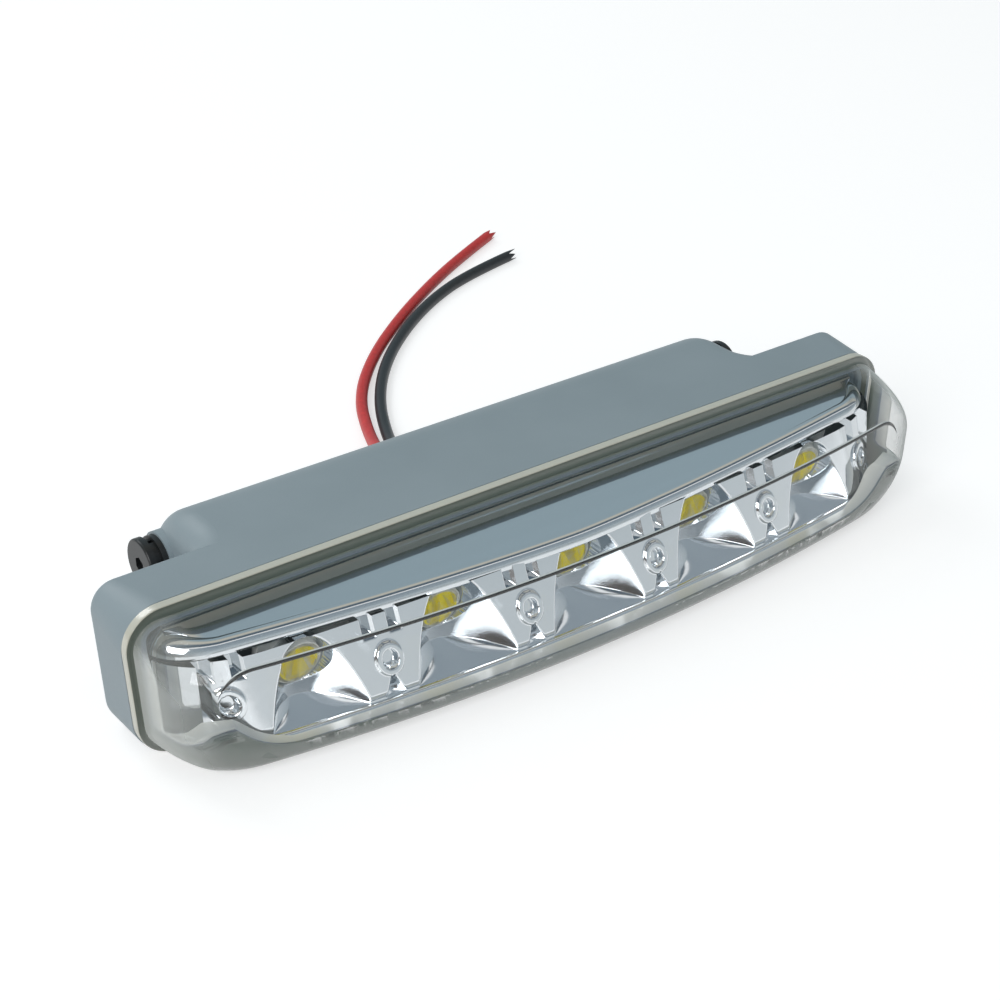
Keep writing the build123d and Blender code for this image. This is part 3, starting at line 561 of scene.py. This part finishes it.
def lens_skin():
    """Clear cap of the lens: rings from the root forwards to the front's edge, then inwards over the front.

    The rings over the bowed front shrink towards a level line in its middle.
    """
    count = CAP_RINGS.shape[2]
    shares = 1.0 - np.linspace(1.0, 0.0, SKIN_ROWS)**SKIN_CROWDING
    middle = np.array((0.0, 0.0, HEIGHT / 2))
    rows = [(on_skin(np.full(count, share), 0.0) - middle) * SKIN_STRETCH + middle for share in shares]
    edge = rows[-1]
    level = np.clip(edge[:, 0], -SPINE_REACH, SPINE_REACH)
    spine = np.column_stack([level, edge[:, 1], np.full(count, SPINE_HEIGHT)])
    for share in np.concatenate([(0.02, 0.05), np.linspace(0.1, 0.999, 14)]):
        points = edge + (spine - edge) * share
        points[:, 1] = -(CAP_DEPTH - points[:, 0]**2 / (2 * CAP_BOW))
        rows.append(points)
    return np.array(rows)


def lower_edge(x):
    """Depth of the reflector's lower edge: bowed along the lamp and a quarter ellipse at both ends."""
    past = np.clip(np.abs(x) - REFLECTOR_END + END_ROUND, 0.0, END_ROUND) / END_ROUND
    return (LOWER_DEPTH - x**2 / (2 * LOWER_BOW)) * np.sqrt(np.clip(1.0 - past**2, 0.0, 1.0))


def lens_edge():
    """Thick edge of the lens: rim and face of its flange, then its root, all round, and its bottom wall.

    Rings of points follow the cap's outline forwards. A ring's share of the cap's depth is small at the ends
    and the top, and grows to the whole depth along the bottom. There the next rings run back to the
    reflector's lower edge.
    """
    z_root = cap_outline(0.0)[1]
    low = ease((BAND_START - z_root) / BAND_WIDTH)
    side = ease((SIDE_START - z_root) / SIDE_WIDTH)
    limit = ROOT_SHARE + SIDE_SHARE * side + BOTTOM_SHARE * low
    lip_share = LIP_SHARE + LIP_SIDE_SHARE * side
    # The shares are places on the edge's ramp of painted light, from the rim's highlight to the pale sheen
    # inside
    grid, shares = [], []
    for inset, y, edge in RIM_ROWS:
        x, z = front_outline(
            HALF_LENGTH - inset, HEIGHT - inset, inset, FLANGE_TOP_CORNER - inset, FLANGE_LOW_CORNER - inset,
        )
        grid.append(np.stack([x, np.full_like(x, y), z], 1))
        shares.append(np.full_like(x, edge))
    for step in np.linspace(0.0, 1.0, 40):
        near = low * (1.0 - (1.0 - step)**2) + (1.0 - low) * step
        grid.append(on_skin(limit * near))
        shares.append(0.15 + step * (0.5 * low + 0.6 * (1.0 - low)))
    for step in np.linspace(0.0, 1.0, 8)[1:]:
        points = on_skin(limit + (1.0 - low) * lip_share * step)
        points[:, 1] += LIP_BACK * low * step
        grid.append(points)
        shares.append(low * (0.65 + 0.27 * step) + (1.0 - low) * (0.7 + side * (0.2 + 0.1 * step)))
    lip = grid[-1]
    x = lip[:, 0] * SHELF_INSET
    inner = np.stack([x, -lower_edge(x) - SHELF_GAP, np.maximum(lip[:, 2], SHELF_HEIGHT)], 1)
    for step in np.linspace(0.0, 1.0, 6)[1:]:
        points = on_skin(limit + (1.0 - low) * (lip_share + SHELF_SHARE * step))
        points = points * (1.0 - low)[:, None] + (lip + (inner - lip) * step) * low[:, None]
        grid.append(points)
        shares.append((0.92 + 0.08 * step) * (low + (1.0 - low) * (0.78 + 0.22 * side)))
    return grid_piece(
        "lens_edge", np.array(grid), edge_polycarbonate(), np.array(shares), ring=True,
    )


def round_bar(path, radius, sides):
    """Round section carried along a path: rows follow the path, columns go round it from its outer side.

    Gives the grid of points and the columns' angles.
    """
    along = np.gradient(path, axis=0)
    along /= np.linalg.norm(along, axis=1)[:, None]
    out = np.cross(along, (0.0, 0.0, 1.0)) + along[:, 2:] * (-1.0, 0.0, 0.0)
    out -= (out * along).sum(1)[:, None] * along
    out /= np.linalg.norm(out, axis=1)[:, None]
    up = np.cross(out, along)
    angle = np.linspace(0.0, 2 * np.pi, sides, endpoint=False)[None, :, None]
    return path[:, None] + radius * (np.cos(angle) * out[:, None] + np.sin(angle) * up[:, None]), angle[0, :, 0]


def lens_fold():
    """Fine rounded fold along the crease: a thin round bar along the bowed front, turned down at both ends."""
    turn = np.linspace(0.0, 1.2, 24)[1:]
    side = FOLD_REACH + FOLD_TURN * np.sin(turn)
    drop = FOLD_TURN * (1.0 - np.cos(turn))
    x = np.concatenate([-side[::-1], np.linspace(-FOLD_REACH, FOLD_REACH, 200), side])
    z = CREASE_HEIGHT - FOLD_SINK - np.concatenate([drop[::-1], np.zeros(200), drop])
    y = -(CAP_DEPTH - x**2 / (2 * CAP_BOW) - FOLD_SINK)
    ends = np.minimum(np.arange(len(x)), np.arange(len(x))[::-1]) / 14.0
    size = (FOLD_RADIUS * np.minimum(1.0, ends) + 0.01)[:, None, None]
    bar, angle = round_bar(np.stack([x, y, z], 1), size, 16)
    # Place of each point on the fold's ramp: painted highlight on the upper side, painted shade on the lower
    painted_light_side = np.tile(0.5 + 0.5 * np.sin(angle - 1.0), (len(x), 1))
    return grid_piece("lens_fold", bar, fold_polycarbonate(), painted_light_side, ring=True)


def reflector_bead():
    """Rolled plated bead: up one end of the reflector, round its lower corners and along its lower edge."""
    bend = np.linspace(0.0, np.pi / 2, 60)
    end = REFLECTOR_END - 0.4 - 5.0 * (1.0 - np.cos(bend))
    x = np.concatenate([-end, np.linspace(-end[-1], end[-1], 260)[1:-1], end[::-1]])
    y = -np.maximum(lower_edge(x), 0.9)
    z = BEAD_HEIGHT + 0.8 * ease((np.abs(x) - 71.0) / 4.6)
    rise = np.linspace(BEAD_TOP, 5.6, 60)
    left = np.stack([np.full(60, -REFLECTOR_END + 0.1), np.full(60, -0.9), rise], 1)
    path = np.concatenate([left, np.stack([x, y, z], 1), left[::-1] * (-1.0, 1.0, 1.0)])
    weight = np.ones(9) / 9
    core = np.stack([np.convolve(path[:, i], weight, "valid") for i in range(3)], 1)
    return round_bar(core, BEAD_RADIUS, 20)[0]


def reflector_face():
    """Plated face under the hood, as depths over x and z.

    The lands lean back by FACE_LEAN from the lower edge's plan, which is bowed and round at its ends. Each
    lamp has a dish, an upright parabola about the lamp cut into the lands, leaning over a level floor.
    Lands carry a ringed eye, a pointed groove below it and two notches under the hood.
    """
    bend = np.linspace(0.0, np.pi / 2, 90)
    corner = FACE_CORNER * (1.0 - np.cos(bend))
    middle = np.linspace(-REFLECTOR_END + FACE_CORNER, REFLECTOR_END - FACE_CORNER, 1000)
    x = np.concatenate([-REFLECTOR_END + corner[:-1], middle, (REFLECTOR_END - corner[:-1])[::-1]])[None, :]
    z = np.linspace(FACE_BOTTOM, FACE_TOP, 84)[:, None]
    edge = lower_edge(x)
    lean = np.where(np.abs(x) < SLOT_TO, FACE_LEAN, END_LEAN)
    height = np.clip((np.maximum(z, 6.8) - BAY_FLOOR) / (FACE_TOP - BAY_FLOOR), 0.0, 1.0)
    land = edge * (1.0 - lean * height)
    depth = land
    for place in LAND_PLACES:
        away = np.abs(x - place)
        width = np.clip((EYE_HEIGHT - GROOVE_WIDTH - z) / GROOVE_HEIGHT, 0.0, 1.0) * GROOVE_WIDTH
        groove = np.clip(1.0 - away / np.maximum(width, 0.01), 0.0, 1.0) * (width > 0.02)
        depth = depth - GROOVE_DEPTH * groove
        round_eye = np.hypot(x - place, (z - EYE_HEIGHT) * 0.95)
        depth = depth + EYE_STAND * ease((EYE_RADIUS - round_eye) / EYE_RIM)
        depth = depth - EYE_SINK * ease((EYE_HOLE - round_eye) / EYE_RIM)
        notch = (away > NOTCH_FROM) & (away < NOTCH_TO) & (z > NOTCH_BOTTOM)
        depth = np.where(notch, np.minimum(depth, land - NOTCH_DEPTH), depth)
    for place in BAY_PLACES:
        spread = (x - place)**2 + (0.95 * (z - LAMP_HEIGHT))**2
        wall = (x - place)**2 + (0.3 * (z - LAMP_HEIGHT))**2
        dish = DISH_BACK + DISH_LEAN * (z - BAY_FLOOR) + wall / (4 * DISH_FOCUS)
        dish = np.where(spread < WINDOW_RADIUS**2, WINDOW_DEPTH, dish)
        depth = np.minimum(depth, dish)
    slot = (np.abs(x) > SLOT_FROM) & (np.abs(x) < SLOT_TO) & (z > SLOT_BOTTOM)
    depth = np.where(slot, np.minimum(depth, SLOT_DEPTH), depth)
    depth = np.where(z < BAY_FLOOR, edge - 0.2, depth)
    return np.stack(np.broadcast_arrays(x, -depth, z), -1)


def reflector_hood():
    """Plated hood over the bays: flat underside, rounded lip and top that slopes up to the root.

    The lip's plan is bowed in the middle and a quarter ellipse at each nose. Points lie inwards of the lip
    by a distance along the plan's normal; the lip's round grows towards the noses. At the root the top turns
    up in a hollow round.
    """
    turn = np.linspace(0.0, np.pi / 2, 80)
    middle = np.linspace(-HOOD_REACH, HOOD_REACH, 500)
    x = np.concatenate([
        -HOOD_REACH - NOSE_LENGTH * np.sin(turn[::-1][:-1]), middle,
        HOOD_REACH + NOSE_LENGTH * np.sin(turn[1:]),
    ])
    back = np.concatenate([np.cos(turn[::-1][:-1]), np.ones(500), np.cos(turn[1:])])
    nose = np.concatenate([np.sin(turn[::-1][:-1]), np.zeros(500), np.sin(turn[1:])])**2
    y = -(HOOD_DEPTH - HOOD_FALL * (np.abs(x) / HOOD_FALL_AT)**1.5) * back
    step = np.stack([np.gradient(x), np.gradient(y)], 1)
    step /= np.linalg.norm(step, axis=1)[:, None]
    inward = np.stack([-step[:, 1], step[:, 0]], 1)
    lip = np.stack([x, y], 1)
    top = HOOD_ROOT + HOOD_SLOPE * y
    size = LIP_ROUND + NOSE_ROUND * nose
    rows = []
    for distance in (6.0, 4.0, 2.0, 0.6, 0.15):
        spot = lip + inward * distance
        rows.append(np.column_stack([spot, top - size]))
    for angle in np.linspace(0.0, np.pi / 2, 24):
        spot = lip + inward * (size * (1.0 - np.cos(angle)))[:, None]
        rows.append(np.column_stack([spot, top - size + size * np.sin(angle)]))
    start = rows[-1]
    root = np.column_stack([
        np.clip(x, -ROOT_REACH, ROOT_REACH), np.full_like(x, -ROOT_DEPTH),
        np.full_like(x, HOOD_ROOT - ROOT_DEPTH * HOOD_SLOPE),
    ])
    for share in np.linspace(0.0, 1.0, 20)[1:]:
        rows.append(start + (root - start) * share + (0.0, 0.0, ROOT_HOLLOW * share**4))
    end = rows[-1]
    for angle in np.linspace(0.0, 1.4, 14)[1:]:
        rise = COVE_TILT * np.sin(angle) + COVE_RISE * (1.0 - np.cos(angle))
        rows.append(end + (0.0, COVE_DEPTH * np.sin(angle), rise))
    return np.array(rows)


chrome = FINISHES["chrome_plating"]
lens = grid_piece("lens_skin", lens_skin(), FINISHES["clear_lens"], ring=True)
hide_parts("front_lens")
lens_edge()
lens_fold()
face = grid_piece("reflector_face", reflector_face(), chrome)
grid_piece("reflector_hood", reflector_hood(), chrome)
grid_piece("reflector_bead", reflector_bead(), chrome, ring=True)
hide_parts("reflector")


# Camera, floor and light

def camera():
    """Camera turned by azimuth about Z and down by elevation, level with the horizon."""
    data = bpy.data.cameras.new("camera")
    data.lens = FOCAL_LENGTH
    data.sensor_width = SENSOR
    data.clip_start = 0.01
    right = Vector((math.cos(AZIMUTH), math.sin(AZIMUTH), 0.0))
    ahead = Vector((
        -math.sin(AZIMUTH) * math.cos(ELEVATION), math.cos(AZIMUTH) * math.cos(ELEVATION), -math.sin(ELEVATION),
    ))
    turn = Matrix((right, right.cross(ahead), -ahead)).transposed()
    eye = bpy.data.objects.new("camera", data)
    eye.matrix_world = Matrix.Translation(Vector(CAMERA_PLACE) * MM) @ turn.to_4x4()
    SCENE.collection.objects.link(eye)
    SCENE.camera = eye


def seen(tree):
    """1 for rays from the camera, and for those mirrored or bent on the way."""
    path = add(tree, "ShaderNodeLightPath")
    total = add(tree, "ShaderNodeMath", {"operation": "MAXIMUM"}, {
        0: path.outputs["Is Camera Ray"], 1: path.outputs["Is Transmission Ray"],
    })
    return add(tree, "ShaderNodeMath", {"operation": "MAXIMUM"}, {
        0: total.outputs[0], 1: path.outputs["Is Glossy Ray"],
    }).outputs[0]


def floor():
    """White sweep of paper: the part of its light that the lamp can shade, and a white glow for the eye."""
    material, tree, output = new_material("white_paper")
    paper = add(tree, "ShaderNodeBsdfDiffuse", {"Color": linear("#c4c4c4")})
    share = add(tree, "ShaderNodeMath", {"operation": "MULTIPLY", 1: FLOOR_GLOW}, {0: seen(tree)})
    glow = add(tree, "ShaderNodeEmission", {}, {"Strength": share.outputs[0]})
    both = add(tree, "ShaderNodeAddShader", {}, {0: paper.outputs[0], 1: glow.outputs[0]})
    tree.links.new(both.outputs[0], output.inputs["Surface"])
    mesh = bpy.data.meshes.new("floor")
    corners = np.array([(-1, -1, 0), (1, -1, 0), (1, 1, 0), (-1, 1, 0)]) * FLOOR_REACH
    mesh.from_pydata(corners.tolist(), [], [(0, 1, 2, 3)])
    mesh.materials.append(material)
    sheet = bpy.data.objects.new("floor", mesh)
    SCENE.collection.objects.link(sheet)


def area_light(name, place, aim, size, watts):
    """Square soft light at a place, turned to the aim."""
    data = bpy.data.lights.new(name, "AREA")
    data.energy = watts
    data.size = size
    lamp = bpy.data.objects.new(name, data)
    lamp.location = place
    lamp.rotation_mode = "QUATERNION"
    lamp.rotation_quaternion = (Vector(aim) - Vector(place)).to_track_quat("-Z", "Y")
    SCENE.collection.objects.link(lamp)


def studio():
    """Room of long bands along the lamp, brown low at its left end, and two lights.

    The bands go from the front horizon over the top to the back. A band is the angle of a direction about the
    X axis, 0 at the front horizon and 1 at the back one.
    """
    world = bpy.data.worlds.new("studio")
    SCENE.world = world
    world.use_nodes = True
    tree = world.node_tree
    tree.nodes.clear()
    way = add(tree, "ShaderNodeTexCoord").outputs["Generated"]
    axes = add(tree, "ShaderNodeSeparateXYZ", {}, {0: way}).outputs
    ahead = add(tree, "ShaderNodeMath", {"operation": "MULTIPLY", 1: -1.0}, {0: axes["Y"]})
    turn = add(tree, "ShaderNodeMath", {"operation": "ARCTAN2"}, {0: axes["Z"], 1: ahead.outputs[0]})
    band = add(tree, "ShaderNodeMath", {"operation": "DIVIDE", 1: math.pi}, {0: turn.outputs[0]})
    ramp = add(tree, "ShaderNodeValToRGB", {}, {0: band.outputs[0]})
    fill_ramp(ramp, ROOM)
    left = add(tree, "ShaderNodeMapRange", {"From Min": -0.45, "From Max": -0.95}, {"Value": axes["X"]})
    low = add(tree, "ShaderNodeMapRange", {"From Min": 0.5, "From Max": 0.1}, {"Value": axes["Z"]})
    corner = add(tree, "ShaderNodeMath", {"operation": "MULTIPLY"}, {0: left.outputs[0], 1: low.outputs[0]})
    room = add(tree, "ShaderNodeMix", {"data_type": "RGBA"}, {0: corner.outputs[0], 6: ramp.outputs[0]})
    room.inputs[7].default_value = linear("#5a4a40")
    light = add(tree, "ShaderNodeBackground", {"Strength": 1.0}, {"Color": room.outputs[2]})
    output = add(tree, "ShaderNodeOutputWorld")
    tree.links.new(light.outputs[0], output.inputs["Surface"])
    area_light("key", (-0.8, -0.42, 0.58), (0, 0, 0), 0.5, 5.4)
    area_light("back", (-0.2, 0.75, 0.75), (0, 0, 0), 0.5, 2.4)


camera()
floor()
studio()
SCENE.view_settings.view_transform = "Standard"
